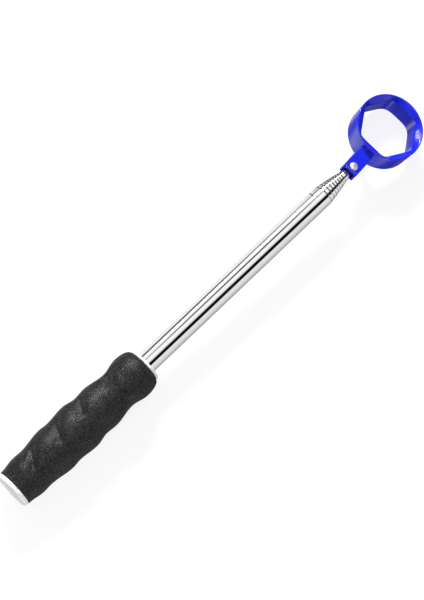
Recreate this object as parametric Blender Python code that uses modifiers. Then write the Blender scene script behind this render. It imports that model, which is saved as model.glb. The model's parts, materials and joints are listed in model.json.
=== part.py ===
"""Telescopic golf-ball retriever: ring head on a nine-section steel shaft.

The shaft lies along +X with the flat rear face of the end cap at X = 0.
The ring head is at the +X end, its cup side up (+Z), its own plane dipping
towards the tip. Everything is in metres.
"""
import math

import bmesh
import bpy
from mathutils import Matrix, Vector

MM = 0.001
QUARTER_TURN = math.radians(90.0)
MERGE_DISTANCE = 0.00001
SMOOTH_ANGLE = math.radians(40.0)

# --- materials: colour, roughness, metallic ------------------------------
POLISHED_STEEL = ((0.86, 0.87, 0.88), 0.08, 1.0)
BRIGHT_STEEL = ((0.80, 0.80, 0.80), 0.25, 1.0)
SPRING_BRONZE = ((0.72, 0.50, 0.25), 0.30, 1.0)
BLACK_RUBBER = ((0.025, 0.025, 0.030), 0.70, 0.0)
WHITE_PLASTIC = ((0.80, 0.82, 0.80), 0.40, 0.0)
BLUE_PLASTIC = ((0.010, 0.020, 0.650), 0.20, 0.0)

# --- shaft ---------------------------------------------------------------
SECTIONS = 9
FIRST_RADIUS = 8.0 * MM
RADIUS_STEP = 0.5 * MM
WALL = 0.25 * MM
OUTER_TUBE_TAIL = 88.0 * MM
OUTER_TUBE_FRONT = 312.4 * MM
# how far each section stands out of the one around it when pushed home
EXPOSED = [3.4 * MM, 2.8 * MM, 2.7 * MM, 2.3 * MM, 2.5 * MM, 2.1 * MM, 2.2 * MM, 3.4 * MM]
TRAVEL = 200.0 * MM
LIP_CLEARANCE = 0.10 * MM
LIP_LENGTH = 0.5 * MM
CRIMP_SETBACK = 7.8 * MM
CRIMP_HALF_WIDTH = 0.5 * MM
CRIMP_DEPTH = 0.10 * MM
TAIL_FLARE = 0.14 * MM
TAIL_FLARE_LENGTH = 0.45 * MM
TUBE_SIDES = 24

# --- friction shims, one round the tail of each sliding section ----------
SHIM_LENGTH = 10.0 * MM
SHIM_INNER = 0.04 * MM
SHIM_OUTER = 0.19 * MM
SHIM_FROM_TAIL = 0.6 * MM
STOP_GAP = 0.2 * MM

# --- handle --------------------------------------------------------------
GRIP_REAR = 3.5 * MM
GRIP_FRONT = 129.6 * MM
GRIP_BORE = 12.4 * MM
# crests and hollows of the moulded grip: (distance from the butt, radius)
GRIP_WAVES = [
    (4.4 * MM, 14.7 * MM),
    (17.0 * MM, 16.2 * MM),
    (24.1 * MM, 15.9 * MM),
    (43.9 * MM, 18.0 * MM),
    (51.0 * MM, 17.4 * MM),
    (66.7 * MM, 18.6 * MM),
    (78.1 * MM, 16.8 * MM),
    (86.7 * MM, 17.4 * MM),
    (104.5 * MM, 15.1 * MM),
    (118.2 * MM, 17.4 * MM),
]
GRIP_NOSE_RADIUS = 13.2 * MM
GRIP_NOSE_POINTS = 6
GRIP_POINTS_PER_WAVE = 3
GRIP_SIDES = 40
CORE_RADIUS = 12.1 * MM
CORE_CAP_BORE = 10.5 * MM
CORE_CAP_BORE_END = 18.0 * MM
CORE_MID_BORE = 7.0 * MM
CORE_TUBE_BORE = 8.15 * MM
CORE_SHOULDER = 87.7 * MM
CORE_COLLAR_BORE = 10.6 * MM
CORE_COLLAR_BORE_START = 115.6 * MM
COLLAR_REAR = 129.9 * MM
COLLAR_FRONT = 131.9 * MM
COLLAR_RADIUS = 13.2 * MM
COLLAR_SPIGOT_RADIUS = 10.3 * MM
COLLAR_SPIGOT_REAR = 116.0 * MM
COLLAR_BORE = 8.2 * MM
CAP_RADIUS = 14.35 * MM
CAP_FLANGE = 3.2 * MM
CAP_EDGE = 2.4 * MM
CAP_EDGE_POINTS = 5
CAP_SPIGOT_RADIUS = 10.2 * MM
CAP_SPIGOT_FRONT = 17.0 * MM
CAP_HOLLOW_RADIUS = 8.4 * MM
CAP_HOLLOW_REAR = 5.2 * MM
STOP_RADIUS = 7.5 * MM
STOP_REAR = 88.4 * MM
STOP_FRONT = 92.4 * MM
STOP_HOLE = 1.5 * MM
HANDLE_SIDES = 40

# --- tang and head -------------------------------------------------------
NOSE_INNER = 3.1 * MM
BEND_GAP = 0.3 * MM
HEAD_TILT = math.radians(15.1)
HEAD_YAW = math.radians(3.5)
TANG_PLUG_RADIUS = 3.6 * MM
TANG_PLUG_LENGTH = 16.0 * MM
TANG_PLUG_SETBACK = 1.7 * MM
BLADE_INTO_PLUG = 4.0 * MM
BLADE_WIDTH = 5.4 * MM
BLADE_THICKNESS = 2.2 * MM
BLADE_PAST_RIVET = 5.0 * MM
BLADE_OVERLAP = 0.55 * MM
BEND_TO_MOUTH = 1.6 * MM
MOUTH_TO_RIVET = 4.85 * MM
RIVET_TO_RING = 41.3 * MM
STEM_WIDTH = 12.1 * MM
STEM_THICKNESS = 10.3 * MM
STEM_EDGE = 0.8 * MM
STEM_EDGE_SEGMENTS = 2
STEM_INTO_WALL = 23.5 * MM
MOUTH_WIDTH = 9.2 * MM
MOUTH_HEIGHT = 8.0 * MM
MOUTH_DEPTH = 3.0 * MM
SLOT_WIDTH = 7.0 * MM
SLOT_HEIGHT = 2.9 * MM
SLOT_PAST_RIVET = 7.0 * MM
RIVET_SHANK = 1.6 * MM
RIVET_HOLE = 1.8 * MM
RIVET_SEAT_GAP = 0.15 * MM
# head and tail of the rivet: (radius, height above the stem's face)
RIVET_DIMPLE = [(0.0, 0.20 * MM), (0.45 * MM, 0.20 * MM)]
RIVET_HEAD = [
    (0.45 * MM, 1.20 * MM),
    (1.40 * MM, 1.10 * MM),
    (2.30 * MM, 0.80 * MM),
    (2.85 * MM, 0.45 * MM),
    (3.10 * MM, 0.10 * MM),
    (3.10 * MM, 0.0),
]
RIVET_TAIL = [
    (2.80 * MM, 0.0),
    (2.80 * MM, 0.30 * MM),
    (1.80 * MM, 0.85 * MM),
    (0.0, 0.95 * MM),
]
RIVET_SIDES = 24
RING_TOP = 11.0 * MM
RING_BOTTOM = -11.2 * MM
RING_TOP_RADIUS = 25.6 * MM
RING_BOTTOM_RADIUS = 24.8 * MM
RING_EDGE = 0.6 * MM
RING_SIDES = 72
RING_SMOOTH_ANGLE = math.radians(50.0)
CUP_MOUTH_RADIUS = 24.5 * MM
CUP_DEPTH = 3.8 * MM
HEX_APOTHEM = 20.0 * MM
HEX_SHARPNESS = 16
EXIT_APOTHEM = 21.2 * MM
EXIT_APOTHEM_FORE_AFT = 22.0 * MM
EXIT_SHARPNESS = 12
CUT_PAST = 1.0 * MM
CUP_CUT_PAST = 0.25 * MM


def clear_scene():
    for obj in list(bpy.data.objects):
        bpy.data.objects.remove(obj, do_unlink=True)
    for collection in list(bpy.data.collections):
        bpy.data.collections.remove(collection)


def new_collection(name):
    collection = bpy.data.collections.new(name)
    bpy.context.scene.collection.children.link(collection)
    return collection


def new_material(name, look):
    colour, roughness, metallic = look
    material = bpy.data.materials.new(name)
    material.use_nodes = True
    shader = material.node_tree.nodes["Principled BSDF"]
    shader.inputs["Base Color"].default_value = (*colour, 1.0)
    shader.inputs["Roughness"].default_value = roughness
    shader.inputs["Metallic"].default_value = metallic
    material.diffuse_color = (*colour, 1.0)
    return material


def turned(name, collection, material, profile, sides, smooth_angle=SMOOTH_ANGLE):
    """Turn a profile of (radius, height) points about the object's Z axis."""
    mesh = bpy.data.meshes.new(name)
    points = [(radius, 0.0, height) for radius, height in profile]
    closed = min(radius for radius, _ in profile) > 0.0
    count = len(points)
    last = count if closed else count - 1
    edges = [(i, (i + 1) % count) for i in range(last)]
    mesh.from_pydata(points, edges, [])
    obj = bpy.data.objects.new(name, mesh)
    collection.objects.link(obj)
    screw = obj.modifiers.new("turn", "SCREW")
    screw.axis = "Z"
    screw.angle = math.tau
    screw.steps = sides
    screw.render_steps = sides
    screw.use_merge_vertices = True
    screw.merge_threshold = MERGE_DISTANCE
    bake(obj)
    obj.data.shade_smooth()
    obj.data.set_sharp_from_angle(angle=smooth_angle)
    obj.data.materials.append(material)
    return obj


def bake(obj):
    """Replace an object's mesh with its evaluated mesh and drop the modifiers."""
    graph = bpy.context.evaluated_depsgraph_get()
    mesh = bpy.data.meshes.new_from_object(obj.evaluated_get(graph))
    old = obj.data
    obj.modifiers.clear()
    obj.data = mesh
    mesh.name = obj.name
    bpy.data.meshes.remove(old)


def on_shaft(obj, distance=0.0):
    """Lay a turned piece along the shaft: its own +Z becomes +X."""
    obj.location = (distance, 0.0, 0.0)
    obj.rotation_euler = (0.0, QUARTER_TURN, 0.0)
    return obj


def mark_cutter(obj):
    obj.hide_render = True
    obj.display_type = "WIRE"


def box(name, collection, size, centre):
    mesh = bpy.data.meshes.new(name)
    cage = bmesh.new()
    bmesh.ops.create_cube(cage, size=1.0)
    bmesh.ops.scale(cage, vec=Vector(size), verts=cage.verts)
    bmesh.ops.translate(cage, vec=Vector(centre), verts=cage.verts)
    cage.to_mesh(mesh)
    cage.free()
    obj = bpy.data.objects.new(name, mesh)
    collection.objects.link(obj)
    return obj


def rod(name, collection, radius, length, centre, sides):
    mesh = bpy.data.meshes.new(name)
    cage = bmesh.new()
    bmesh.ops.create_cone(cage, cap_ends=True, segments=sides, radius1=radius,
                          radius2=radius, depth=length)
    bmesh.ops.translate(cage, vec=Vector(centre), verts=cage.verts)
    cage.to_mesh(mesh)
    cage.free()
    obj = bpy.data.objects.new(name, mesh)
    collection.objects.link(obj)
    return obj


def combine(obj, tool, operation):
    modifier = obj.modifiers.new(operation.lower(), "BOOLEAN")
    modifier.operation = operation
    modifier.solver = "EXACT"
    modifier.object = tool


def bevelled(obj, width, segments):
    modifier = obj.modifiers.new("edge", "BEVEL")
    modifier.width = width
    modifier.segments = segments
    modifier.limit_method = "ANGLE"


# --- shaft ---------------------------------------------------------------

def section_radius(number):
    return FIRST_RADIUS - RADIUS_STEP * (number - 1)


def section_front(number):
    return OUTER_TUBE_FRONT + sum(EXPOSED[:number - 1])


def section_tail(number):
    """Set so that the shim meets the crimp ahead of it after TRAVEL."""
    if number == 1:
        return OUTER_TUBE_TAIL
    crimp = section_front(number - 1) - CRIMP_SETBACK - CRIMP_HALF_WIDTH
    return crimp - STOP_GAP - TRAVEL - SHIM_LENGTH - SHIM_FROM_TAIL


def crimp_points(radius, front):
    centre = front - CRIMP_SETBACK
    return [
        (radius, centre + CRIMP_HALF_WIDTH),
        (radius - CRIMP_DEPTH, centre),
        (radius, centre - CRIMP_HALF_WIDTH),
    ]


def section_profile(number):
    outer = section_radius(number)
    inner = outer - WALL
    front = section_front(number)
    tail = section_tail(number)
    if number < SECTIONS:
        lip = outer - RADIUS_STEP + LIP_CLEARANCE
        lip_outer = outer - WALL
        nose = LIP_LENGTH
    else:
        lip = NOSE_INNER
        lip_outer = NOSE_INNER + WALL
        nose = 2.0 * LIP_LENGTH
    points = [(lip, front), (lip_outer, front), (outer, front - nose)]
    if number < SECTIONS:
        points += crimp_points(outer, front)
    if number > 1:
        points += [(outer, tail + TAIL_FLARE_LENGTH), (outer + TAIL_FLARE, tail)]
    else:
        points += [(outer, tail)]
    points += [(inner, tail)]
    if number < SECTIONS:
        points += list(reversed(crimp_points(inner, front)))
    points += [(inner, front - nose - WALL), (lip, front - WALL)]
    return points


def shim_profile(number):
    radius = section_radius(number)
    return [
        (radius + SHIM_INNER, SHIM_LENGTH),
        (radius + SHIM_OUTER, SHIM_LENGTH),
        (radius + SHIM_OUTER, 0.0),
        (radius + SHIM_INNER, 0.0),
    ]


def build_shaft(parts, chrome, bronze):
    for number in range(1, SECTIONS + 1):
        tail = section_tail(number)
        name = "outer_tube" if number == 1 else f"tube_section_{number}"
        profile = [(radius, x - tail) for radius, x in section_profile(number)]
        on_shaft(turned(name, parts, chrome, profile, TUBE_SIDES), tail)
        if number > 1:
            shim = turned(f"friction_shim_{number}", parts, bronze, shim_profile(number), TUBE_SIDES)
            on_shaft(shim, tail + SHIM_FROM_TAIL)


# --- handle --------------------------------------------------------------

def wave_points():
    """Outer line of the grip from butt to nose, eased between its crests."""
    points = []
    for start, end in zip(GRIP_WAVES[:-1], GRIP_WAVES[1:]):
        for step in range(GRIP_POINTS_PER_WAVE):
            part = step / GRIP_POINTS_PER_WAVE
            ease = 0.5 - 0.5 * math.cos(math.pi * part)
            x = start[0] + (end[0] - start[0]) * part
            points.append((start[1] + (end[1] - start[1]) * ease, x))
    crest_x, crest_radius = GRIP_WAVES[-1]
    for step in range(GRIP_NOSE_POINTS):
        angle = QUARTER_TURN * step / (GRIP_NOSE_POINTS - 1)
        x = crest_x + (GRIP_FRONT - crest_x) * math.sin(angle)
        points.append((GRIP_NOSE_RADIUS + (crest_radius - GRIP_NOSE_RADIUS) * math.cos(angle), x))
    return points


def grip_profile():
    outer = wave_points()
    rear_edge = GRIP_WAVES[0][1] - (GRIP_WAVES[0][0] - GRIP_REAR)
    outside = list(reversed(outer)) + [(rear_edge, GRIP_REAR)]
    return outside + [(GRIP_BORE, GRIP_REAR), (GRIP_BORE, GRIP_FRONT)]


def core_profile():
    return [
        (CORE_RADIUS, GRIP_FRONT),
        (CORE_RADIUS, GRIP_REAR),
        (CORE_CAP_BORE, GRIP_REAR),
        (CORE_CAP_BORE, CORE_CAP_BORE_END),
        (CORE_MID_BORE, CORE_CAP_BORE_END),
        (CORE_MID_BORE, CORE_SHOULDER),
        (CORE_TUBE_BORE, CORE_SHOULDER),
        (CORE_TUBE_BORE, CORE_COLLAR_BORE_START),
        (CORE_COLLAR_BORE, CORE_COLLAR_BORE_START),
        (CORE_COLLAR_BORE, GRIP_FRONT),
    ]


def collar_profile():
    edge = 0.5 * (COLLAR_FRONT - COLLAR_REAR)
    return [
        (COLLAR_BORE, COLLAR_FRONT),
        (COLLAR_RADIUS - edge, COLLAR_FRONT),
        (COLLAR_RADIUS, COLLAR_FRONT - edge),
        (COLLAR_RADIUS, COLLAR_REAR),
        (COLLAR_SPIGOT_RADIUS, COLLAR_REAR),
        (COLLAR_SPIGOT_RADIUS, COLLAR_SPIGOT_REAR),
        (COLLAR_BORE, COLLAR_SPIGOT_REAR),
    ]


def cap_profile():
    edge = []
    for step in range(CAP_EDGE_POINTS):
        angle = QUARTER_TURN * step / (CAP_EDGE_POINTS - 1)
        radius = CAP_RADIUS - CAP_EDGE + CAP_EDGE * math.cos(angle)
        edge.append((radius, CAP_EDGE - CAP_EDGE * math.sin(angle)))
    return [
        (0.0, CAP_HOLLOW_REAR),
        (CAP_HOLLOW_RADIUS, CAP_HOLLOW_REAR),
        (CAP_HOLLOW_RADIUS, CAP_SPIGOT_FRONT),
        (CAP_SPIGOT_RADIUS, CAP_SPIGOT_FRONT),
        (CAP_SPIGOT_RADIUS, CAP_FLANGE),
        (CAP_RADIUS, CAP_FLANGE),
        *edge,
        (0.0, 0.0),
    ]


def stop_profile():
    return [
        (STOP_HOLE, STOP_FRONT),
        (STOP_RADIUS, STOP_FRONT),
        (STOP_RADIUS, STOP_REAR),
        (STOP_HOLE, STOP_REAR),
    ]


def build_handle(parts, rubber, white):
    on_shaft(turned("grip_sleeve", parts, rubber, grip_profile(), GRIP_SIDES))
    on_shaft(turned("handle_core", parts, white, core_profile(), HANDLE_SIDES))
    on_shaft(turned("front_collar", parts, white, collar_profile(), HANDLE_SIDES))
    on_shaft(turned("end_cap", parts, white, cap_profile(), HANDLE_SIDES))
    on_shaft(turned("tube_stop", parts, white, stop_profile(), TUBE_SIDES))


# --- tang ----------------------------------------------------------------

def bend_point():
    return section_front(SECTIONS) + BEND_GAP


def build_tang(parts, cutters, steel):
    """Plug in the last tube, flattened to a blade that bends into the stem."""
    front = section_front(SECTIONS) - TANG_PLUG_SETBACK
    centre = front - TANG_PLUG_LENGTH / 2.0
    tang = rod("head_tang", parts, TANG_PLUG_RADIUS, TANG_PLUG_LENGTH, (0, 0, 0), TUBE_SIDES)
    tang.data.transform(Matrix.Rotation(QUARTER_TURN, 4, "Y"))
    tang.location = (centre, 0.0, 0.0)
    tang.data.materials.append(steel)

    start = front - BLADE_INTO_PLUG
    bend = bend_point()
    straight = box("tang_straight", cutters, (bend - start, BLADE_WIDTH, BLADE_THICKNESS),
                   ((bend + start) / 2.0, 0.0, 0.0))
    rivet_at = BEND_TO_MOUTH + MOUTH_TO_RIVET
    reach = rivet_at + BLADE_PAST_RIVET
    blade = box("tang_blade", cutters, (reach + BLADE_OVERLAP, BLADE_WIDTH, BLADE_THICKNESS),
                ((reach - BLADE_OVERLAP) / 2.0, 0.0, 0.0))
    hole = rod("tang_hole", cutters, RIVET_HOLE, 4.0 * BLADE_THICKNESS, (rivet_at, 0.0, 0.0),
               RIVET_SIDES)
    for obj in (blade, hole):
        obj.location = (bend, 0.0, 0.0)
        obj.rotation_euler = (0.0, HEAD_TILT, 0.0)
    for obj in (straight, blade, hole):
        mark_cutter(obj)
    combine(tang, straight, "UNION")
    combine(tang, blade, "UNION")
    combine(tang, hole, "DIFFERENCE")


# --- head ----------------------------------------------------------------

def round_hexagon(angle, apothem, fore_aft, sharpness):
    """Radius at an angle of a hexagon with soft corners, flats facing +X and -X."""
    total = 0.0
    for number, reach in enumerate((fore_aft, apothem, apothem)):
        share = abs(math.cos(angle - math.radians(60.0) * number)) / reach
        total += share ** sharpness
    return total ** (-1.0 / sharpness)


def throat_sections():
    """Radius rule and height of each section of the throat, bottom to top."""
    def circle(radius):
        return lambda angle: radius

    def exit_hexagon(angle):
        return round_hexagon(angle, EXIT_APOTHEM, EXIT_APOTHEM_FORE_AFT, EXIT_SHARPNESS)

    def seat_hexagon(angle):
        return round_hexagon(angle, HEX_APOTHEM, HEX_APOTHEM, HEX_SHARPNESS)

    cup_floor = RING_TOP - CUP_DEPTH
    slope = (CUP_MOUTH_RADIUS - HEX_APOTHEM) / CUP_DEPTH
    return [
        (exit_hexagon, RING_BOTTOM - CUT_PAST),
        (exit_hexagon, RING_BOTTOM + CUT_PAST),
        (seat_hexagon, cup_floor),
        (circle(CUP_MOUTH_RADIUS), RING_TOP),
        (circle(CUP_MOUTH_RADIUS + slope * CUP_CUT_PAST), RING_TOP + CUP_CUT_PAST),
    ]


def loft(name, collection, sections, sides):
    """Close a stack of unlike sections into one solid."""
    cage = bmesh.new()
    rings = []
    for radius_at, height in sections:
        ring = []
        for step in range(sides):
            angle = math.tau * step / sides
            radius = radius_at(angle)
            ring.append(cage.verts.new((radius * math.cos(angle), radius * math.sin(angle), height)))
        rings.append(ring)
    for lower, upper in zip(rings[:-1], rings[1:]):
        for step in range(sides):
            after = (step + 1) % sides
            cage.faces.new((lower[step], lower[after], upper[after], upper[step]))
    cage.faces.new(list(reversed(rings[0])))
    cage.faces.new(rings[-1])
    mesh = bpy.data.meshes.new(name)
    cage.to_mesh(mesh)
    cage.free()
    obj = bpy.data.objects.new(name, mesh)
    collection.objects.link(obj)
    return obj


def ring_body_profile():
    return [
        (0.0, RING_TOP),
        (RING_TOP_RADIUS - RING_EDGE, RING_TOP),
        (RING_TOP_RADIUS, RING_TOP - RING_EDGE),
        (RING_BOTTOM_RADIUS, RING_BOTTOM + RING_EDGE),
        (RING_BOTTOM_RADIUS - RING_EDGE, RING_BOTTOM),
        (0.0, RING_BOTTOM),
    ]


def rivet_profile():
    seat = STEM_THICKNESS / 2.0 + RIVET_SEAT_GAP
    above = [(radius, seat + height) for radius, height in RIVET_DIMPLE + RIVET_HEAD]
    below = [(radius, -seat - height) for radius, height in RIVET_TAIL]
    return [*above, (RIVET_SHANK, seat), (RIVET_SHANK, -seat), *below]


def head_pivot(parts):
    pivot = bpy.data.objects.new("head_pivot", None)
    parts.objects.link(pivot)
    along = BEND_TO_MOUTH + MOUTH_TO_RIVET
    pivot.location = (bend_point() + along * math.cos(HEAD_TILT), 0.0, -along * math.sin(HEAD_TILT))
    turn = Matrix.Rotation(HEAD_TILT, 3, "Y") @ Matrix.Rotation(HEAD_YAW, 3, "Z")
    pivot.rotation_euler = turn.to_euler()
    return pivot


def head_cutters(cutters):
    """Throat, stem, mouth, slot and rivet hole in the head's own frame."""
    throat = loft("throat_cut", cutters, throat_sections(), RING_SIDES)
    throat.location = (RIVET_TO_RING, 0.0, 0.0)

    stem_rear = -MOUTH_TO_RIVET
    stem_front = RIVET_TO_RING - STEM_INTO_WALL
    stem = box("stem_block", cutters, (stem_front - stem_rear, STEM_WIDTH, STEM_THICKNESS),
               ((stem_front + stem_rear) / 2.0, 0.0, 0.0))
    bevelled(stem, STEM_EDGE, STEM_EDGE_SEGMENTS)

    mouth = box("mouth_cut", cutters, (2.0 * MOUTH_DEPTH, MOUTH_WIDTH, MOUTH_HEIGHT),
                (stem_rear, 0.0, 0.0))
    slot = box("slot_cut", cutters, (SLOT_PAST_RIVET - stem_rear, SLOT_WIDTH, SLOT_HEIGHT),
               ((SLOT_PAST_RIVET + stem_rear) / 2.0, 0.0, 0.0))
    hole = rod("rivet_cut", cutters, RIVET_HOLE, 2.0 * STEM_THICKNESS, (0.0, 0.0, 0.0), RIVET_SIDES)
    return throat, stem, mouth, slot, hole


def build_head(parts, cutters, blue, steel):
    pivot = head_pivot(parts)
    ring = turned("ring_head", parts, blue, ring_body_profile(), RING_SIDES,
                  RING_SMOOTH_ANGLE)
    ring.data.transform(Matrix.Translation((RIVET_TO_RING, 0.0, 0.0)))
    rivet = turned("pivot_rivet", parts, steel, rivet_profile(), RIVET_SIDES)
    throat, stem, mouth, slot, hole = head_cutters(cutters)
    for tool in (throat, stem, mouth, slot, hole):
        mark_cutter(tool)
    for obj in (ring, rivet, throat, stem, mouth, slot, hole):
        obj.parent = pivot
    combine(ring, throat, "DIFFERENCE")
    combine(ring, stem, "UNION")
    combine(ring, mouth, "DIFFERENCE")
    combine(ring, slot, "DIFFERENCE")
    combine(ring, hole, "DIFFERENCE")


def main():
    clear_scene()
    parts = new_collection("golf_ball_retriever")
    cutters = new_collection("cutters")
    chrome = new_material("polished_steel", POLISHED_STEEL)
    steel = new_material("bright_steel", BRIGHT_STEEL)
    bronze = new_material("spring_bronze", SPRING_BRONZE)
    rubber = new_material("black_rubber", BLACK_RUBBER)
    white = new_material("white_plastic", WHITE_PLASTIC)
    blue = new_material("blue_plastic", BLUE_PLASTIC)
    build_handle(parts, rubber, white)
    build_shaft(parts, chrome, bronze)
    build_tang(parts, cutters, steel)
    build_head(parts, cutters, blue, steel)


main()
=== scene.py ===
"""Looks for a telescopic golf-ball retriever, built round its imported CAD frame.

The shaft's axis is X, the butt is at X = 0 and the ring's cup opens upwards.
Values times MM are in metres. The grip's waves and the head's own shapes are in
millimetres and are scaled when they are placed. The points of a turned outline are
distance along X, radius, and the radius that rounds the corner there.
"""
import json
import math

import bmesh
import bpy
import numpy as np
from mathutils import Matrix, Vector

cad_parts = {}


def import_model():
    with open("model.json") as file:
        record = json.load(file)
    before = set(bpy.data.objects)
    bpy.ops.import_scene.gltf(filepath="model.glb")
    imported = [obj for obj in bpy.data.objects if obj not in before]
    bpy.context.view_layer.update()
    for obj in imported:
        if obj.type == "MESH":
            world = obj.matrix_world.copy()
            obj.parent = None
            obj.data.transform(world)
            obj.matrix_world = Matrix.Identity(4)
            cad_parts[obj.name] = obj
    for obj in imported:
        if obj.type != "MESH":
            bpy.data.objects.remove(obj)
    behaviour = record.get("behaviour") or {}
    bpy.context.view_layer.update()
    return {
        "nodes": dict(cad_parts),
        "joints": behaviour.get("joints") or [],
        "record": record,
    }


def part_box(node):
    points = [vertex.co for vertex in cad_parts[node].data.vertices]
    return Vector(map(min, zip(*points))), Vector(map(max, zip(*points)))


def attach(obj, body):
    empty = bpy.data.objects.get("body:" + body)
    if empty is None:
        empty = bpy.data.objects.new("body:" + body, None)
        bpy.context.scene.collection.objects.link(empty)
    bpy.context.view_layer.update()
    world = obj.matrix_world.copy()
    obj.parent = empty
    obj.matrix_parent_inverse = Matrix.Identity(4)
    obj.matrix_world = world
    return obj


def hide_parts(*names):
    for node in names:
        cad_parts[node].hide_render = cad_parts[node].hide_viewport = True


MM = 0.001


# ---------------------------------------------------------------- mesh tools

def enclosed_volume(mesh):
    """Negative where a closed mesh is inside out."""
    shell = bmesh.new()
    shell.from_mesh(mesh)
    volume = shell.calc_volume(signed=True)
    shell.free()
    return volume


def shade(mesh, sharp):
    """Smooth shading, with the edges sharper than an angle in degrees left sharp."""
    mesh.shade_smooth()
    mesh.set_sharp_from_angle(angle=math.radians(sharp))


def dress(obj, material):
    obj.data.materials.clear()
    obj.data.materials.append(material)


def mesh_object(name, verts, faces, sharp=35.0):
    mesh = bpy.data.meshes.new(name)
    mesh.from_pydata([tuple(v) for v in verts], [], faces)
    mesh.validate()
    if enclosed_volume(mesh) < 0.0:
        mesh.flip_normals()
    shade(mesh, sharp)
    obj = bpy.data.objects.new(name, mesh)
    bpy.context.scene.collection.objects.link(obj)
    return obj


def ring_faces(rows, columns, closed_rows):
    """Quads of a grid whose columns wrap round; its rows wrap too if closed."""
    faces = []
    last = rows if closed_rows else rows - 1
    for row in range(last):
        a = row * columns
        b = ((row + 1) % rows) * columns
        for column in range(columns):
            after = (column + 1) % columns
            faces.append((a + column, a + after, b + after, b + column))
    return faces


# the most of a side that one corner's rounding may take, and the flattest corner rounded
CORNER_SHARE = 0.45
FLATTEST_HALF_ANGLE = math.radians(86.0)


def curve_point(start, corner, end, part):
    """The point part of the way along the curve that rounds a corner."""
    return (1 - part) ** 2 * start + 2 * part * (1 - part) * corner + part ** 2 * end


def rounded(points, steps):
    """A closed outline with its corners rounded, as (distance, radius) points."""
    done = []
    count = len(points)
    for i in range(count):
        here = np.array(points[i][:2], float)
        fillet = points[i][2]
        back = np.array(points[i - 1][:2], float) - here
        ahead = np.array(points[(i + 1) % count][:2], float) - here
        room = CORNER_SHARE * min(np.linalg.norm(back), np.linalg.norm(ahead))
        back /= np.linalg.norm(back)
        ahead /= np.linalg.norm(ahead)
        half = 0.5 * math.acos(max(-1.0, min(1.0, float(back @ ahead))))
        if fillet <= 0.0 or half > FLATTEST_HALF_ANGLE:
            done.append(tuple(here))
            continue
        setback = min(fillet / math.tan(half), room)
        start, end = here + back * setback, here + ahead * setback
        for step in range(steps + 1):
            done.append(tuple(curve_point(start, here, end, step / steps)))
    return done


def turned(name, outline, sides, sharp):
    """Turn a closed outline of (distance, radius) points about X."""
    flat = np.array(outline, float)
    x = np.repeat(flat[:, 0], sides)
    radius = np.repeat(flat[:, 1], sides)
    turn = np.tile(np.linspace(0.0, math.tau, sides, endpoint=False), len(flat))
    verts = np.stack([x, radius * np.cos(turn), radius * np.sin(turn)], 1)
    return mesh_object(name, verts, ring_faces(len(flat), sides, True), sharp)


# ---------------------------------------------------------------- materials

def new_material(name):
    material = bpy.data.materials.new(name)
    material.use_nodes = True
    return material, material.node_tree, material.node_tree.nodes["Principled BSDF"]


def node(tree, kind, inputs=None, **settings):
    made = tree.nodes.new(kind)
    for key, value in settings.items():
        setattr(made, key, value)
    for key, value in (inputs or {}).items():
        if isinstance(value, bpy.types.NodeSocket):
            tree.links.new(value, made.inputs[key])
        else:
            made.inputs[key].default_value = value
    return made


def mapped(tree, scale=(1.0, 1.0, 1.0)):
    where = node(tree, "ShaderNodeTexCoord")
    made = node(tree, "ShaderNodeMapping", {"Vector": where.outputs["Object"], "Scale": scale})
    return made.outputs["Vector"]


def noise(tree, vector, scale, detail=3.0):
    made = node(tree, "ShaderNodeTexNoise", {"Vector": vector, "Scale": scale, "Detail": detail})
    return made.outputs["Fac"]


def maths(tree, kind, first, second=0.0):
    return node(tree, "ShaderNodeMath", {0: first, 1: second}, operation=kind).outputs[0]


def between(tree, value, low, high, from_low=0.0, from_high=1.0):
    made = node(tree, "ShaderNodeMapRange",
                {"Value": value, "From Min": from_low, "From Max": from_high,
                 "To Min": low, "To Max": high})
    return made.outputs["Result"]


def mixed(tree, factor, first, second):
    made = node(tree, "ShaderNodeMix", data_type="RGBA")
    for key, value in (("Factor", factor), ("A", first), ("B", second)):
        socket = next(s for s in made.inputs if s.name == key and s.enabled)
        if isinstance(value, bpy.types.NodeSocket):
            tree.links.new(value, socket)
        else:
            socket.default_value = value
    return next(s for s in made.outputs if s.enabled)


def bump(tree, shader, height, distance, strength):
    inputs = {"Height": height, "Distance": distance, "Strength": strength}
    tree.links.new(node(tree, "ShaderNodeBump", inputs).outputs["Normal"], shader.inputs["Normal"])


def polished_steel():
    """Mirror-bright tube: a faint haze, and drawing lines that run along it."""
    material, tree, shader = new_material("chromed_tube")
    haze = noise(tree, mapped(tree), 60.0, 4.0)
    lines = noise(tree, mapped(tree, (6.0, 900.0, 900.0)), 1.0, 2.0)
    tint = mixed(tree, haze, (0.80, 0.81, 0.82, 1.0), (0.86, 0.865, 0.87, 1.0))
    tree.links.new(tint, shader.inputs["Base Color"])
    shader.inputs["Metallic"].default_value = 1.0
    rough = between(tree, haze, 0.035, 0.065, 0.3, 0.7)
    tree.links.new(rough, shader.inputs["Roughness"])
    bump(tree, shader, lines, 0.000004, 0.5)
    return material


def hazed_metal(name, scale, detail, tints, roughness, metallic=1.0):
    """Metal whose tint and gloss follow one haze, which is returned with its nodes."""
    material, tree, shader = new_material(name)
    haze = noise(tree, mapped(tree), scale, detail)
    tree.links.new(mixed(tree, haze, *tints), shader.inputs["Base Color"])
    shader.inputs["Metallic"].default_value = metallic
    tree.links.new(between(tree, haze, *roughness), shader.inputs["Roughness"])
    return material, tree, shader, haze


def bright_steel():
    """The tang's plated blade."""
    tints = [(0.74, 0.74, 0.75, 1.0), (0.90, 0.90, 0.90, 1.0)]
    material, tree, shader, haze = hazed_metal("plated_blade", 700.0, 4.0, tints, (0.18, 0.34))
    bump(tree, shader, haze, 0.00002, 0.4)
    return material


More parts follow.
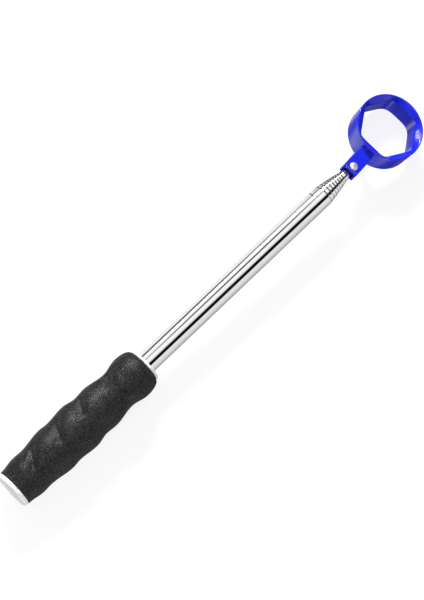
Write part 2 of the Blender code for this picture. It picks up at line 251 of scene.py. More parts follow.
def zinc_plate():
    """The rivet's dull bright plating."""
    tints = [(0.68, 0.67, 0.68, 1.0), (0.86, 0.85, 0.86, 1.0)]
    material, tree, shader, haze = hazed_metal("zinc_plate", 900.0, 4.0, tints, (0.34, 0.46), 0.85)
    bump(tree, shader, haze, 0.00002, 0.4)
    return material


def spring_bronze():
    """The friction shims, which stay inside the tubes."""
    tints = [(0.62, 0.40, 0.16, 1.0), (0.75, 0.52, 0.25, 1.0)]
    return hazed_metal("phosphor_bronze", 500.0, 3.0, tints, (0.22, 0.40))[0]


def white_plastic():
    material, tree, shader = new_material("white_moulding")
    spot = mapped(tree)
    cloud = noise(tree, spot, 90.0)
    fine = noise(tree, spot, 2500.0, 2.0)
    tint = mixed(tree, cloud, (0.84, 0.84, 0.82, 1.0), (0.89, 0.89, 0.87, 1.0))
    tree.links.new(tint, shader.inputs["Base Color"])
    tree.links.new(between(tree, cloud, 0.34, 0.48), shader.inputs["Roughness"])
    shader.inputs["Subsurface Weight"].default_value = 0.15
    shader.inputs["Subsurface Radius"].default_value = (0.002, 0.002, 0.002)
    bump(tree, shader, fine, 0.00001, 0.4)
    return material


def blue_plastic():
    material, tree, shader = new_material("blue_moulding")
    spot = mapped(tree)
    cloud = noise(tree, spot, 45.0)
    flow = noise(tree, spot, 260.0, 2.0)
    tint = mixed(tree, cloud, (0.009, 0.014, 0.50, 1.0), (0.014, 0.024, 0.62, 1.0))
    tree.links.new(tint, shader.inputs["Base Color"])
    tree.links.new(between(tree, cloud, 0.10, 0.18), shader.inputs["Roughness"])
    shader.inputs["Specular IOR Level"].default_value = 0.35
    bump(tree, shader, flow, 0.00003, 0.3)
    return material


def leather_grain(tree, spot):
    """Small domes with gaps between them: each dome's height, and a value of its own."""
    wander = node(tree, "ShaderNodeTexNoise", {"Vector": spot, "Scale": 160.0, "Detail": 2.0})
    bent = node(tree, "ShaderNodeVectorMath",
                {0: wander.outputs["Color"], 1: (0.0012, 0.0012, 0.0012)}, operation="MULTIPLY")
    where = node(tree, "ShaderNodeVectorMath", {0: spot, 1: bent.outputs[0]}, operation="ADD")
    longer = node(tree, "ShaderNodeMapping",
                  {"Vector": where.outputs[0], "Scale": (1.0, 0.70, 0.70)})
    cell = {"Vector": longer.outputs[0], "Scale": 860.0, "Randomness": 0.8}
    gaps = node(tree, "ShaderNodeTexVoronoi", cell, feature="DISTANCE_TO_EDGE")
    cells = node(tree, "ShaderNodeTexVoronoi", cell)
    each = node(tree, "ShaderNodeSeparateColor", {"Color": cells.outputs["Color"]})
    dome = node(tree, "ShaderNodeMapRange", {"Value": gaps.outputs["Distance"], "From Max": 0.42},
                interpolation_type="SMOOTHSTEP")
    return dome.outputs["Result"], each.outputs["Red"]


def grained_rubber():
    """Black rubber moulded with a leather grain, with painted shade darkening the gaps between its
    domes, and paler where it is worn.
    """
    material, tree, shader = new_material("grained_rubber")
    spot = mapped(tree)
    dome, each = leather_grain(tree, spot)
    fine = noise(tree, spot, 2600.0, 2.0)
    worn = between(tree, noise(tree, spot, 40.0), 0.0, 0.3, 0.45, 0.75)
    # the gaps between the grain's domes are coloured darker: painted shade in the grain's hollows
    tint = mixed(tree, dome, (0.011, 0.011, 0.012, 1.0), (0.036, 0.036, 0.039, 1.0))
    tint = mixed(tree, worn, tint, (0.030, 0.030, 0.033, 1.0))
    tree.links.new(tint, shader.inputs["Base Color"])
    tree.links.new(between(tree, each, 0.33, 0.43), shader.inputs["Roughness"])
    shine = maths(tree, "MULTIPLY", between(tree, dome, 0.25, 1.0), between(tree, each, 0.28, 0.42))
    tree.links.new(shine, shader.inputs["Specular IOR Level"])
    height = maths(tree, "ADD", dome, maths(tree, "MULTIPLY", fine, 0.5))
    bump(tree, shader, height, 0.00010, 1.0)
    return material


def floor_paint():
    """Nearly white by itself, so that only faint soft shadows show on it."""
    material, tree, shader = new_material("pale_floor")
    cloud = noise(tree, mapped(tree), 3.0)
    tint = mixed(tree, cloud, (0.19, 0.19, 0.19, 1.0), (0.21, 0.21, 0.21, 1.0))
    tree.links.new(tint, shader.inputs["Base Color"])
    shader.inputs["Roughness"].default_value = 1.0
    shader.inputs["Specular IOR Level"].default_value = 0.0
    shader.inputs["Emission Color"].default_value = (1.0, 1.0, 1.0, 1.0)
    shader.inputs["Emission Strength"].default_value = 0.83
    return material


# ---------------------------------------------------------------- the shaft

SECTIONS = 9
TUBE_SIDES = 96
FIRST_RADIUS = 8.0 * MM
RADIUS_STEP = 0.5 * MM
WALL = 0.25 * MM
CRIMP_SETBACK = 7.8 * MM
CRIMP_HALF_WIDTH = 0.55 * MM
CRIMP_DEPTH = 0.035 * MM
# the rolled-in front of a section: its length, and its opening past the next tube or,
# on the last section, in full
NOSE, LAST_NOSE = 0.95 * MM, 1.1 * MM
LIP_CLEARANCE, LAST_LIP = 0.1 * MM, 3.1 * MM
# the flare at the tail of a sliding section
FLARE_LENGTH = 0.5 * MM
FLARE_HEIGHT = 0.12 * MM
# extra rings this far from an edge keep the reflections in the long faces straight
HOLD = 0.5 * MM


def tube_outline(number, tail, front):
    """One section: rolled-in front lip, shallow crimp ring, flared tail."""
    outer = FIRST_RADIUS - RADIUS_STEP * (number - 1)
    inner = outer - WALL
    last = number == SECTIONS
    lip = LAST_LIP if last else outer - RADIUS_STEP + LIP_CLEARANCE
    nose = LAST_NOSE if last else NOSE
    flare_end = tail + FLARE_LENGTH
    points = [
        (front, lip, 0.02 * MM),
        (front, outer - 0.34 * MM, 0.06 * MM),
        (front - 0.32 * nose, outer - 0.20 * MM, 0.3 * MM),
        (front - nose, outer, 0.3 * MM),
        (front - nose - HOLD, outer, 0.0),
    ]
    if not last:
        points += crimp(front, outer)
    if number > 1:
        points += [
            (flare_end + HOLD, outer, 0.0),
            (flare_end, outer, 0.2 * MM),
            (tail, outer + FLARE_HEIGHT, 0.03 * MM),
        ]
    else:
        points += [(tail + HOLD, outer, 0.0), (tail, outer, 0.05 * MM)]
    points.append((tail, inner, 0.03 * MM))
    if not last:
        points += reversed(crimp(front, inner))
    points += [(front - nose - WALL, inner, 0.2 * MM), (front - WALL, lip, 0.1 * MM)]
    return rounded(points, 3)


def crimp(front, radius):
    centre = front - CRIMP_SETBACK
    return [
        (centre + CRIMP_HALF_WIDTH + HOLD, radius, 0.0),
        (centre + CRIMP_HALF_WIDTH, radius, 0.3 * MM),
        (centre, radius - CRIMP_DEPTH, 0.3 * MM),
        (centre - CRIMP_HALF_WIDTH, radius, 0.3 * MM),
        (centre - CRIMP_HALF_WIDTH - HOLD, radius, 0.0),
    ]


def build_shaft(steel):
    for number in range(1, SECTIONS + 1):
        cad = "outer_tube" if number == 1 else f"tube_section_{number}"
        low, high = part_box(cad)
        tube = turned(f"{cad}_polished", tube_outline(number, low.x, high.x), TUBE_SIDES, 40.0)
        dress(tube, steel)
        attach(tube, "handle" if number == 1 else f"section_{number}")
        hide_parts(cad)


# ---------------------------------------------------------------- the handle

GRIP_SIDES = 240
GRIP_STEPS = 520
GRIP_NOSE_STEPS = 40
# crests and hollows along the grip: distance and radius in mm
GRIP_WAVES = [
    (4.4, 14.7), (17.0, 16.2), (24.1, 15.9), (43.9, 18.0), (51.0, 17.4),
    (66.7, 18.6), (78.1, 16.8), (86.7, 17.4), (104.5, 15.1), (118.2, 17.4),
]
GRIP_NOSE_RADIUS = 13.2
GRIP_BORE = 12.4
GRIP_REAR_EDGE = 0.5
# how far the waves slant round the grip, and at each end how many mm stay without the
# slant and over how many more it grows
GRIP_SLANT = 6.0
SLANT_REAR = (2.0, 16.0)
SLANT_FRONT = (9.0, 14.0)
# finger creases: distance, degrees from the top, slope in mm a degree, how many
# degrees each reaches, depth, and its width behind and ahead of its middle
CREASES = [
    (25.8, 26.0, 0.20, 28.0, 1.9, 4.0, 3.0),
    (52.0, 32.0, 0.15, 28.0, 2.0, 4.4, 3.1),
    (76.2, 38.0, 0.15, 22.0, 2.0, 5.0, 2.9),
    (104.2, 46.0, 0.13, 18.0, 1.7, 5.0, 2.8),
    (31.5, -36.0, -0.10, 17.0, 1.1, 4.0, 4.5),
    (54.8, -34.0, -0.05, 15.0, 1.0, 3.5, 3.5),
    (79.5, -36.0, -0.05, 17.0, 1.2, 5.0, 5.0),
    (99.5, -32.0, -0.05, 16.0, 0.9, 5.0, 5.0),
]


def wave_radius(x, front):
    """Radius in mm of the plain turned grip at each distance in mm."""
    xs = np.array([p[0] for p in GRIP_WAVES])
    rs = np.array([p[1] for p in GRIP_WAVES])
    index = np.clip(np.searchsorted(xs, x) - 1, 0, len(xs) - 2)
    part = np.clip((x - xs[index]) / (xs[index + 1] - xs[index]), 0.0, 1.0)
    ease = 0.5 - 0.5 * np.cos(math.pi * part)
    radius = rs[index] + (rs[index + 1] - rs[index]) * ease
    nose = np.clip((x - xs[-1]) / (front - xs[-1]), 0.0, 1.0)
    over = GRIP_NOSE_RADIUS + (rs[-1] - GRIP_NOSE_RADIUS) * np.sqrt(1.0 - nose ** 2)
    return np.where(x > xs[-1], over, radius)


def smooth_step(value):
    value = np.clip(value, 0.0, 1.0)
    return value * value * (3.0 - 2.0 * value)


def grip_radius(x, turn, rear, front):
    """The turned waves, slanted round the grip, with finger creases pressed in."""
    settle = smooth_step((x - rear - SLANT_REAR[0]) / SLANT_REAR[1])
    settle = settle * smooth_step((front - SLANT_FRONT[0] - x) / SLANT_FRONT[1])
    slanted = wave_radius(x + GRIP_SLANT * np.cos(turn) ** 2 * settle, front)
    plain = wave_radius(x, front)
    radius = plain + (slanted - plain) * settle
    degrees = np.degrees(turn)
    for place, angle, slope, reach, depth, behind, ahead in CREASES:
        away = (x - place) - slope * (degrees - angle)
        across = np.exp(-((away / np.where(away > 0.0, ahead, behind)) ** 2))
        along = np.exp(-(((degrees - angle) / reach) ** 4))
        radius = radius - depth * across * along
    return radius


def build_grip(rubber):
    low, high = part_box("grip_sleeve")
    rear, front = low.x / MM, high.x / MM
    crest = GRIP_WAVES[-1][0]
    nose = np.sin(np.linspace(0.0, 0.5 * math.pi, GRIP_NOSE_STEPS))
    xs = np.concatenate([
        np.linspace(rear + GRIP_REAR_EDGE, crest, GRIP_STEPS, endpoint=False),
        crest + (front - crest) * nose,
    ])
    turns = np.linspace(-math.pi, math.pi, GRIP_SIDES, endpoint=False)
    radii = grip_radius(*np.meshgrid(xs, turns, indexing="ij"), rear, front)
    bore = np.full(GRIP_SIDES, GRIP_BORE)
    rows = [(rear, bore), (rear, radii[0] - 0.6), (rear + 0.15, radii[0] - 0.18)]
    rows += list(zip(xs, radii)) + [(front, bore)]
    x = np.repeat([place for place, _ in rows], GRIP_SIDES) * MM
    radius = np.concatenate([around for _, around in rows]) * MM
    turn = np.tile(turns, len(rows))
    verts = np.stack([x, radius * np.sin(turn), radius * np.cos(turn)], 1)
    faces = ring_faces(len(rows), GRIP_SIDES, True)
    grip = mesh_object("grip_moulded", verts, faces, 60.0)
    dress(grip, rubber)
    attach(grip, "handle")
    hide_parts("grip_sleeve")


CAP_SIDES = 128
CAP_FLANGE = 3.2 * MM
CAP_DISH_DEPTH, CAP_DISH_RADIUS = 0.55 * MM, 10.2 * MM
CAP_FLOOR = 5.2 * MM
CAP_SPIGOT, CAP_SPIGOT_BORE = 10.2 * MM, 8.4 * MM
COLLAR_FLANGE = 2.0 * MM
COLLAR_SPIGOT, COLLAR_BORE = 10.3 * MM, 8.2 * MM
# the cap's moulding notch: start, end, width, height and corner in mm, and its place
CAP_NOTCH = (2.3, 3.6, 0.9, 1.6, 0.1)
CAP_NOTCH_TURN = math.radians(5.0)
# a turned solid's middle, kept off the axis so that its faces stay whole
CENTRE = 0.02 * MM


def build_cap(white):
    """A dished plug with a rounded rim, and a moulding notch at its top."""
    _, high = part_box("end_cap")
    radius = high.y
    outline = rounded([
        (CAP_DISH_DEPTH, CENTRE, 0.0),
        (CAP_DISH_DEPTH, CAP_DISH_RADIUS, 0.15 * MM),
        (0.0, CAP_DISH_RADIUS + 0.3 * MM, 0.25 * MM),
        (0.0, radius, 2.4 * MM),
        (CAP_FLANGE, radius, 0.15 * MM),
        (CAP_FLANGE, CAP_SPIGOT, 0.1 * MM),
        (high.x, CAP_SPIGOT, 0.3 * MM),
        (high.x, CAP_SPIGOT_BORE, 0.3 * MM),
        (CAP_FLOOR, CAP_SPIGOT_BORE, 0.3 * MM),
        (CAP_FLOOR, CENTRE, 0.0),
    ], 8)
    cap = turned("end_cap_moulded", outline, CAP_SIDES, 50.0)
    notch = box_cutter("cap_notch", *CAP_NOTCH)
    to_rim = Matrix.Translation((0.0, 0.0, radius / MM))
    round_rim = Matrix.Rotation(CAP_NOTCH_TURN, 4, "X")
    notch.data.transform(Matrix.Scale(MM, 4) @ round_rim @ to_rim)
    applied(cap, notch, "DIFFERENCE")
    shade(cap.data, 50.0)
    dress(cap, white)
    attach(cap, "handle")
    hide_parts("end_cap")


def build_collar(white):
    low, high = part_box("front_collar")
    flange_rear = high.x - COLLAR_FLANGE
    outline = rounded([
        (high.x, COLLAR_BORE, 0.2 * MM),
        (high.x, high.y, 0.9 * MM),
        (flange_rear, high.y, 0.3 * MM),
        (flange_rear, COLLAR_SPIGOT, 0.1 * MM),
        (low.x, COLLAR_SPIGOT, 0.3 * MM),
        (low.x, COLLAR_BORE, 0.2 * MM),
    ], 5)
    collar = turned("front_collar_moulded", outline, CAP_SIDES, 50.0)
    dress(collar, white)
    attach(collar, "handle")
    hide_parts("front_collar")


# ---------------------------------------------------------------- the head

# all in mm, with heights measured from the middle of the stem
RIVET_TO_RING = 41.3
RING_TOP, RING_BOTTOM = 11.0, -11.2
RING_TOP_RADIUS, RING_BOTTOM_RADIUS = 25.6, 24.8
RING_SIDES = 288
CUP_RADIUS, CUP_DEPTH = 24.5, 3.2
# six-sided throat: reach to its front and rear flats, to the other four, and sharpness
SEAT = (20.0, 20.0, 18)
THROAT_EXIT = (21.8, 21.0, 9)
CORNER_STEPS = 5
STEM_WIDTH, STEM_THICKNESS, STEM_CORNER = 12.1, 10.3, 0.9
STEM_ROOT_RADIUS = 23.4
STEM_FILLET = 1.1
MOUTH_TO_RIVET = 4.85
# the socket's wide mouth and the slot for the blade: width, height and corner
MOUTH = (9.2, 8.0, 1.6)
MOUTH_DEPTH = 3.0
SLOT = (7.0, 2.9, 0.4)
SLOT_END = 7.0
PIN_HOLE_RADIUS = 1.8
RIVET_GAP = 0.12
HEAD_YAW = math.radians(3.5)


def pivot_of(frame):
    """The rivet's place, its axis, and the way the blade points."""
    joint = next(j for j in frame["joints"] if j["name"] == "head_play")
    up = Vector(joint["axis"]).normalized()
    return Vector(joint["pos_m"]), up, Vector((up.z, 0.0, -up.x))


def head_matrix(frame):
    """The head's own frame: rivet axis up, ring along +X, in metres."""
    place, up, blade = pivot_of(frame)
    ahead = Matrix.Rotation(HEAD_YAW, 3, up) @ blade
    basis = Matrix((ahead, up.cross(ahead), up)).transposed().to_4x4()
    return Matrix.Translation(place) @ basis @ Matrix.Scale(MM, 4)


def hexagon(angle, fore_aft, others, sharpness):
    """Radius at each angle of a hexagon with softened corners."""
    total = 0.0
    for number, reach in enumerate((fore_aft, others, others)):
        total = total + (np.abs(np.cos(angle - number * math.pi / 3.0)) / reach) ** sharpness
    return total ** (-1.0 / sharpness)


def ring_outline(angle):
    """The ring's wall at each angle: corners as radius, height and rounding setback."""
    seat = hexagon(angle, *SEAT)
    everywhere = np.ones_like(angle)
    floor = RING_TOP - CUP_DEPTH
    return [
        (RING_TOP_RADIUS * everywhere, RING_TOP, 0.75),
        (RING_BOTTOM_RADIUS * everywhere, RING_BOTTOM, 0.5),
        (hexagon(angle, *THROAT_EXIT), RING_BOTTOM, 0.35),
        (seat, floor - 0.6, 0.7),
        (seat + 0.35, floor, 0.6),
        (CUP_RADIUS * everywhere, RING_TOP, 0.4),
    ]


def round_ring(corners):
    """Round the corners of a section that changes round the ring."""
    rows = []
    places = [np.stack([radius, np.full_like(radius, height)]) for radius, height, _ in corners]
    for i, (_, _, reach) in enumerate(corners):
        here = places[i]
        back = places[i - 1] - here
        ahead = places[(i + 1) % len(places)] - here
        size_back, size_ahead = np.linalg.norm(back, axis=0), np.linalg.norm(ahead, axis=0)
        setback = np.minimum(reach, CORNER_SHARE * np.minimum(size_back, size_ahead))
        start = here + back / size_back * setback
        end = here + ahead / size_ahead * setback
        for step in range(CORNER_STEPS + 1):
            rows.append(curve_point(start, here, end, step / CORNER_STEPS))
    return rows


def ring_mesh():
    angles = np.linspace(0.0, math.tau, RING_SIDES, endpoint=False)
    rows = round_ring(ring_outline(angles))
    verts = [
        np.stack([RIVET_TO_RING + radius * np.cos(angles), radius * np.sin(angles), height], 1)
        for radius, height in rows
    ]
    faces = ring_faces(len(rows), RING_SIDES, True)
    return mesh_object("ring_head_moulded", np.concatenate(verts), faces, 50.0)


def rounded_rectangle(width, height, corner, steps):
    points = []
    for cx, cy, start in ((1, 1, 0), (-1, 1, 90), (-1, -1, 180), (1, -1, 270)):
        for step in range(steps + 1):
            angle = math.radians(start + 90.0 * step / steps)
            points.append((cx * (width / 2 - corner) + corner * math.cos(angle),
                           cy * (height / 2 - corner) + corner * math.sin(angle)))
    return np.array(points)


def lofted(name, sections, sharp=40.0):
    """Skin a list of equal rings of points and cap both ends."""
    count = len(sections[0])
    verts = np.concatenate(sections)
    faces = ring_faces(len(sections), count, False)
    last = (len(sections) - 1) * count
    faces.append(tuple(reversed(range(count))))
    faces.append(tuple(last + i for i in range(count)))
    return mesh_object(name, verts, faces, sharp)


def stem_mesh():
    """The stem, its edges rounded and its root flared into the ring's wall."""
    root = RIVET_TO_RING - STEM_ROOT_RADIUS
    ring_radius = 0.5 * (RING_TOP_RADIUS + RING_BOTTOM_RADIUS)
    rear = -MOUTH_TO_RIVET
    stations = [(rear, 0.45), (rear + 0.12, 0.2), (rear + 0.4, 0.0)]
    stations += [(u, 0.0) for u in np.linspace(rear + 3.0, root - 5.0, 6)]
    stations += [(u, 0.0) for u in np.linspace(root - 4.6, root, 30)]
    sections = []
    for u, inset in stations:
        width, thickness = STEM_WIDTH - 2 * inset, STEM_THICKNESS - 2 * inset
        shape = rounded_rectangle(width, thickness, STEM_CORNER, 5)
        wall = RIVET_TO_RING - np.sqrt(ring_radius ** 2 - shape[:, 0] ** 2)
        near = np.clip(1.0 - (wall - u) / STEM_FILLET, 0.0, 1.0)
        grow = 2.0 * STEM_FILLET * (1.0 - np.sqrt(1.0 - near ** 2))
        across = shape[:, 0] * (1.0 + grow / STEM_WIDTH)
        height = shape[:, 1] * (1.0 + grow / STEM_THICKNESS)
        sections.append(np.stack([np.full(len(shape), u), across, height], 1))
    return lofted("stem_blank", sections)


def box_cutter(name, start, end, width, height, corner):
    """A bar along X, centred on it, with its four long edges rounded."""
    shape = rounded_rectangle(width, height, corner, 6)
    rows = [np.stack([np.full(len(shape), x), shape[:, 0], shape[:, 1]], 1) for x in (start, end)]
    return lofted(name, rows)


def round_cutter(name, half_length, sides):
    """A pin through the rivet's hole."""
    angles = np.linspace(0.0, math.tau, sides, endpoint=False)
    across, side = PIN_HOLE_RADIUS * np.cos(angles), PIN_HOLE_RADIUS * np.sin(angles)
    rows = [np.stack([across, side, np.full(sides, z)], 1) for z in (-half_length, half_length)]
    return lofted(name, rows)


def applied(obj, tool, operation):
    """Join the tool to an object or cut it out, and leave no tool behind."""
    modifier = obj.modifiers.new(operation.lower(), "BOOLEAN")
    modifier.operation = operation
    modifier.solver = "EXACT"
    modifier.object = tool
    graph = bpy.context.evaluated_depsgraph_get()
    mesh = bpy.data.meshes.new_from_object(obj.evaluated_get(graph))
    obj.modifiers.clear()
    old = obj.data
    obj.data = mesh
    bpy.data.meshes.remove(old)
    bpy.data.objects.remove(tool, do_unlink=True)


def build_head(frame, blue, plating):
    """Ring and stem in one moulding, with the socket and the rivet's hole cut out."""
    place = head_matrix(frame)
    rear = -MOUTH_TO_RIVET
    head = ring_mesh()
    applied(head, stem_mesh(), "UNION")
    cutters = [
        box_cutter("mouth_cut", rear - MOUTH_DEPTH, rear + MOUTH_DEPTH, *MOUTH),
        box_cutter("slot_cut", rear, SLOT_END, *SLOT),
        round_cutter("rivet_cut", 12.0, 48),
    ]
    for cutter in cutters:
        applied(head, cutter, "DIFFERENCE")
    head.data.transform(place)
    shade(head.data, 38.0)
    dress(head, blue)
    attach(head, "head")
    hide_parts("ring_head")
    build_rivet(place, plating)


def build_rivet(place, plating):
    """Domed head with a centre hole above the stem, shank, and a flatter tail below."""
    seat = STEM_THICKNESS / 2.0 + RIVET_GAP
    middle = CENTRE / MM
    outline = [
        (seat - 0.40, middle, 0.0), (seat - 0.40, 0.70, 0.05), (seat + 1.18, 0.78, 0.10),
        (seat + 1.12, 1.55, 1.0), (seat + 0.84, 2.30, 1.0), (seat + 0.45, 2.86, 0.6),
        (seat + 0.08, 3.12, 0.15), (seat, 3.05, 0.05), (seat, 1.6, 0.05), (-seat, 1.6, 0.05),
        (-seat, 2.8, 0.1), (-seat - 0.3, 2.85, 0.2), (-seat - 0.8, 2.0, 0.4),
        (-seat - 0.95, middle, 0.0),
    ]
    rivet = turned("pivot_rivet_domed", rounded(outline, 4), 64, 40.0)
    tip_up = Matrix.Rotation(math.radians(-90.0), 4, "Y")
    rivet.data.transform(place @ tip_up)
    dress(rivet, plating)
    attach(rivet, "head")
    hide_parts("pivot_rivet")


# half width, half height and squareness of the tang's flat blade
BLADE = (2.7, 1.1, 8.0)
BLADE_PAST_RIVET = 5.0
BEND_LENGTH = 1.2


def build_tang(frame, steel):
    """Round plug flattened to a blade, bent into the stem's own direction."""
    place, up, ahead = pivot_of(frame)
    pivot = place / MM
    upright = Vector((0.0, 0.0, 1.0))
    bend = pivot.x - pivot.z / ahead.z * ahead.x
    low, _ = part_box("head_tang")
    start = low.x / MM
    plug = [
        (start, 3.2, 3.2, 2.0), (start + 0.4, 3.6, 3.6, 2.0), (bend - 3.2, 3.6, 3.6, 2.0),
        (bend - 2.6, 3.3, 3.1, 2.0), (bend - 2.2, 2.9, 2.5, 2.2), (bend - 1.6, 2.75, 1.9, 3.0),
        (bend - 0.8, 2.7, 1.35, 5.0),
    ]
    sections = [tang_section(Vector((x, 0.0, 0.0)), upright, *shape) for x, *shape in plug]
    centre = Vector((bend, 0.0, 0.0))
    for part in (0.0, 0.25, 0.5, 0.75, 1.0):
        lean = upright.lerp(up, part).normalized()
        along = Vector((lean.z, 0.0, -lean.x))
        sections.append(tang_section(centre + along * (part - 0.5) * BEND_LENGTH, lean, *BLADE))
    half_width, half_height, squareness = BLADE
    reach = (pivot - centre).length
    end = reach + BLADE_PAST_RIVET
    tip = [
        (reach, half_width), (end - 1.6, half_width), (end - 0.7, 2.3), (end - 0.2, 1.4),
        (end, 0.5),
    ]
    for past, width in tip:
        sections.append(tang_section(centre + ahead * past, up, width, half_height, squareness))
    tang = lofted("head_tang_formed", sections, 45.0)
    hole = round_cutter("tang_hole", 3.0, 32)
    turn = Matrix((ahead, up.cross(ahead), up)).transposed().to_4x4()
    hole.data.transform(Matrix.Translation(pivot) @ turn)
    applied(tang, hole, "DIFFERENCE")
    tang.data.transform(Matrix.Scale(MM, 4))
    shade(tang.data, 40.0)
    dress(tang, steel)
    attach(tang, "section_9")
    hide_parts("head_tang")


def tang_section(centre, up, half_width, half_height, squareness, count=32):
    """A squared oval across the blade, in the plane of Y and up."""
    rows = []
    for step in range(count):
        angle = math.tau * step / count
        c, s = math.cos(angle), math.sin(angle)
        size = (abs(c) ** squareness + abs(s) ** squareness) ** (-1.0 / squareness)
        across = Vector((0.0, half_width * c * size, 0.0))
        rows.append(tuple(centre + across + up * (half_height * s * size)))
    return np.array(rows)


# ---------------------------------------------------------------- the studio

# the camera leans back from straight down, and turns the shaft up to the right
TILT = math.radians(11.0)
ROLL = math.radians(43.5)
DISTANCE = 2.506
FOCAL = 210.0
SENSOR = 36.0
# the point of the shaft it looks near, and how far that is from the picture's middle
AIM_X = 0.2238
AIM_RIGHT, AIM_UP = 0.01804, 0.01643


def build_camera():
    back = Vector((-math.sin(TILT), 0.0, math.cos(TILT)))
    along = Vector((math.cos(TILT), 0.0, math.sin(TILT)))
    across = Vector((0.0, 1.0, 0.0))
    right = along * math.cos(ROLL) - across * math.sin(ROLL)
    up = along * math.sin(ROLL) + across * math.cos(ROLL)
    data = bpy.data.cameras.new("camera")
    data.sensor_width = SENSOR
    data.lens = FOCAL
    data.clip_start, data.clip_end = 0.05, 50.0
    camera = bpy.data.objects.new("camera", data)
    bpy.context.scene.collection.objects.link(camera)
    where = Vector((AIM_X, 0.0, 0.0)) + back * DISTANCE - right * AIM_RIGHT - up * AIM_UP
    turn = Matrix((right, up, back)).transposed().to_4x4()
    camera.matrix_world = Matrix.Translation(where) @ turn
    bpy.context.scene.camera = camera


FLOOR_HALF = 12.0
# the floor stays this far below the tool, and the ring's lower rim comes down on it
# this far behind the head's front
FLOOR_GAP = 0.4 * MM
RIM_SETBACK = 4.5 * MM


def build_floor():
    """A pale floor that the grip's fattest wave and the ring's lower rim lie on."""
    fattest_x, fattest_radius = max(GRIP_WAVES, key=lambda wave: wave[1])
    grip_x, grip_z = fattest_x * MM, -fattest_radius * MM
    head_low, head_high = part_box("ring_head")
    slope = (head_low.z - grip_z) / (head_high.x - RIM_SETBACK - grip_x)
    verts = []
    for x, y in ((-1, -1), (1, -1), (1, 1), (-1, 1)):
        z = grip_z - FLOOR_GAP + slope * (x * FLOOR_HALF - grip_x)
        verts.append((x * FLOOR_HALF, y * FLOOR_HALF, z))
    floor = mesh_object("floor", verts, [(0, 1, 2, 3)])
    dress(floor, floor_paint())
    floor.visible_diffuse = False
    floor.visible_glossy = False
    floor.visible_shadow = False


# the surroundings: brightness by degrees from straight up towards -Y, at the leans
# along X that the tubes mirror
SURROUND = [
    (-180.0, 0.15), (-171.0, 0.55), (-150.0, 0.95), (-125.0, 1.10), (-107.0, 1.05),
    (-72.0, 1.12), (-50.0, 1.10), (-22.0, 1.00), (-15.0, 1.10), (-3.0, 1.15), (8.0, 0.90),
    (17.0, 0.60), (20.0, 0.004), (48.0, 0.004), (52.0, 0.92), (80.0, 0.88), (95.0, 0.78),
    (112.0, 0.62), (143.0, 0.42), (165.0, 0.12), (180.0, 0.15),
]
# the same at the other leans
ASIDE = [
    (-180.0, 0.02), (-173.0, 0.03), (-162.0, 0.19), (-140.0, 0.19), (-125.0, 0.35),
    (-100.0, 0.38), (-60.0, 0.42), (-25.0, 1.10), (0.0, 2.00), (17.0, 1.60), (20.0, 0.30),
    (48.0, 0.30), (52.0, 1.40), (80.0, 1.40), (95.0, 1.10), (112.0, 0.55), (140.0, 0.16),
    (165.0, 0.03), (180.0, 0.02),
]
# how far each lean along X follows SURROUND: 1 is all of the way, 0 is ASIDE
BAND = [
    (-1.0, 0.0), (0.03, 0.0), (0.115, 1.0), (0.29, 1.0), (0.36, 0.0), (0.48, 0.0), (0.62, 1.0),
]
# in front of the tool: what is left of the brightness, by the same degrees, and the
# leans over which that sets in
FRONT = [
    (-180.0, 0.80), (-110.0, 0.70), (-85.0, 0.30), (-60.0, 0.12), (-30.0, 0.05),
    (50.0, 0.03), (64.0, 0.55), (110.0, 0.60), (180.0, 0.55),
]
FRONT_LEANS = (0.40, 0.62)
# long black flags: degrees, half width, soft edge, and (lean along X, strength) stops
FLAGS = [
    (-86.5, 8.0, 8.0, [
        (0.0, 0.92), (0.19, 0.88), (0.212, 0.58), (0.2325, 0.42), (0.2365, 1.0), (0.30, 0.95),
    ]),
    (-33.2, 5.0, 4.0, [
        (0.0, 0.25), (0.165, 0.35), (0.180, 0.85), (0.20, 1.0), (0.224, 1.0), (0.234, 0.25),
        (0.30, 0.0),
    ]),
    (-128.0, 26.0, 8.0, [(0.0, 0.0), (0.2325, 0.0), (0.2375, 0.96), (0.285, 0.96), (0.32, 0.0)]),
]
# towards the butt: more light from below and less from above, each with the height and
# the lean where it is complete and where it starts
UNDER_REAR = (7.5, (-0.5, -0.1), (-0.42, -0.22))
OVER_REAR = (0.10, (0.25, 0.0), (-0.50, -0.25))
# a ramp's colours stop at 1, so they hold half the brightness
RAMP_SCALE = 0.5
BACKDROP = 0.98
# soft boxes: name, direction, distance, target, size and radiance
LIGHTS = [
    ("key", (0.53, 0.66, 0.53), 1.5, (0.098, 0.0, 0.0), (0.40, 0.28), 75.0),
    ("side_glint", (0.06, 0.866, 0.50), 1.0, (0.395, -0.017, -0.006), (0.28, 0.08), 20.0),
    ("rear_fill", (-1.0, 0.10, 0.06), 1.2, (0.0, 0.0, 0.0), (0.9, 0.4), 0.6),
    ("rear_glint", (-0.90, 0.0, 0.41), 1.0, (0.38, 0.0, 0.0), (0.07, 0.07), 65.0),
]


def grey_ramp(tree, value, low, high, stops, scale=1.0):
    """Brightness read off a list of stops, between the values low and high."""
    part = between(tree, value, 0.0, 1.0, low, high)
    ramp = node(tree, "ShaderNodeValToRGB", {"Fac": part})
    rows = ramp.color_ramp.elements
    while len(rows) > 1:
        rows.remove(rows[-1])
    for index, (place, level) in enumerate(stops):
        place = (place - low) / (high - low)
        row = rows[0] if index == 0 else rows.new(place)
        row.position = place
        row.color = (level * scale, level * scale, level * scale, 1.0)
    return ramp.outputs["Color"]


def scaled(tree, level, part, factor):
    """The level, times factor where part is 1 and unchanged where part is 0."""
    return maths(tree, "MULTIPLY", level, between(tree, part, 1.0, factor))


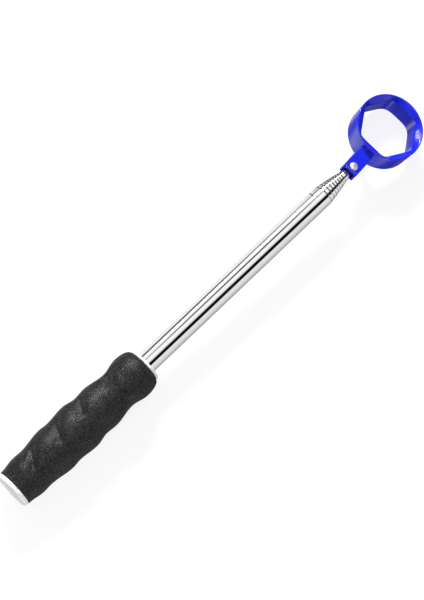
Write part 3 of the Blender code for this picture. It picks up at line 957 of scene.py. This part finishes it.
def build_world():
    """Soft boxes with black flags, run along the shaft; the front end is in shade."""
    world = bpy.data.worlds.new("studio")
    bpy.context.scene.world = world
    world.use_nodes = True
    tree = world.node_tree
    tree.nodes.clear()
    where = node(tree, "ShaderNodeTexCoord")
    split = node(tree, "ShaderNodeSeparateXYZ", {"Vector": where.outputs["Generated"]})
    lean, height = split.outputs["X"], split.outputs["Z"]
    sideways = maths(tree, "MULTIPLY", split.outputs["Y"], -1.0)
    angle = maths(tree, "ARCTAN2", sideways, height)
    degrees = maths(tree, "MULTIPLY", angle, 180.0 / math.pi)
    band = grey_ramp(tree, lean, -1.0, 1.0, BAND)
    within = grey_ramp(tree, degrees, -180.0, 180.0, SURROUND, RAMP_SCALE)
    aside = grey_ramp(tree, degrees, -180.0, 180.0, ASIDE, RAMP_SCALE)
    extra = maths(tree, "MULTIPLY", band, maths(tree, "SUBTRACT", within, aside))
    level = maths(tree, "ADD", aside, extra)
    for centre, half, soft, strengths in FLAGS:
        away = maths(tree, "ABSOLUTE", maths(tree, "SUBTRACT", degrees, centre))
        edge = between(tree, away, 1.0, 0.0, half, half + soft)
        dark = maths(tree, "MULTIPLY", edge, grey_ramp(tree, lean, 0.0, 1.0, strengths))
        level = scaled(tree, level, dark, 0.0)
    ahead = between(tree, lean, 0.0, 1.0, *FRONT_LEANS)
    missing = maths(tree, "SUBTRACT", 1.0, grey_ramp(tree, degrees, -180.0, 180.0, FRONT))
    level = scaled(tree, level, maths(tree, "MULTIPLY", ahead, missing), 0.0)
    for factor, heights, leans in (UNDER_REAR, OVER_REAR):
        part = maths(tree, "MULTIPLY", between(tree, height, 1.0, 0.0, *heights),
                     between(tree, lean, 1.0, 0.0, *leans))
        level = scaled(tree, level, part, factor)
    glow = node(tree, "ShaderNodeBackground", {"Color": level, "Strength": 1.0 / RAMP_SCALE})
    plain = node(tree, "ShaderNodeBackground", {"Color": (BACKDROP, BACKDROP, BACKDROP, 1.0)})
    path = node(tree, "ShaderNodeLightPath")
    mix = node(tree, "ShaderNodeMixShader",
               {0: path.outputs["Is Camera Ray"], 1: glow.outputs[0], 2: plain.outputs[0]})
    node(tree, "ShaderNodeOutputWorld", {"Surface": mix.outputs[0]})


def area_light(name, towards, distance, target, size, brightness):
    """A soft box in the direction towards, seen from target; brightness is its radiance."""
    data = bpy.data.lights.new(name, "AREA")
    data.shape = "RECTANGLE"
    data.size, data.size_y = size
    data.energy = math.pi * size[0] * size[1] * brightness
    light = bpy.data.objects.new(name, data)
    bpy.context.scene.collection.objects.link(light)
    way = Vector(towards).normalized()
    light.location = Vector(target) + way * distance
    light.rotation_euler = way.to_track_quat("Z", "Y").to_euler()
    light.visible_camera = False


def dress_hidden_nodes(frame, materials):
    """The CAD solids that stay: the ones inside the handle and the tubes."""
    slots = {row["node"]: row["material_slot"] for row in frame["record"]["subparts"]}
    for name, obj in frame["nodes"].items():
        if obj.hide_render:
            continue
        dress(obj, materials[slots[name]])


def main():
    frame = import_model()
    materials = {
        "polished_steel": polished_steel(),
        "bright_steel": bright_steel(),
        "spring_bronze": spring_bronze(),
        "white_plastic": white_plastic(),
        "blue_plastic": blue_plastic(),
        "rubber_black": grained_rubber(),
    }
    build_camera()
    build_floor()
    build_world()
    for light in LIGHTS:
        area_light(*light)
    build_shaft(materials["polished_steel"])
    build_grip(materials["rubber_black"])
    build_cap(materials["white_plastic"])
    build_collar(materials["white_plastic"])
    build_tang(frame, materials["bright_steel"])
    build_head(frame, materials["blue_plastic"], zinc_plate())
    dress_hidden_nodes(frame, materials)
    bpy.context.scene.view_settings.view_transform = "Standard"


main()
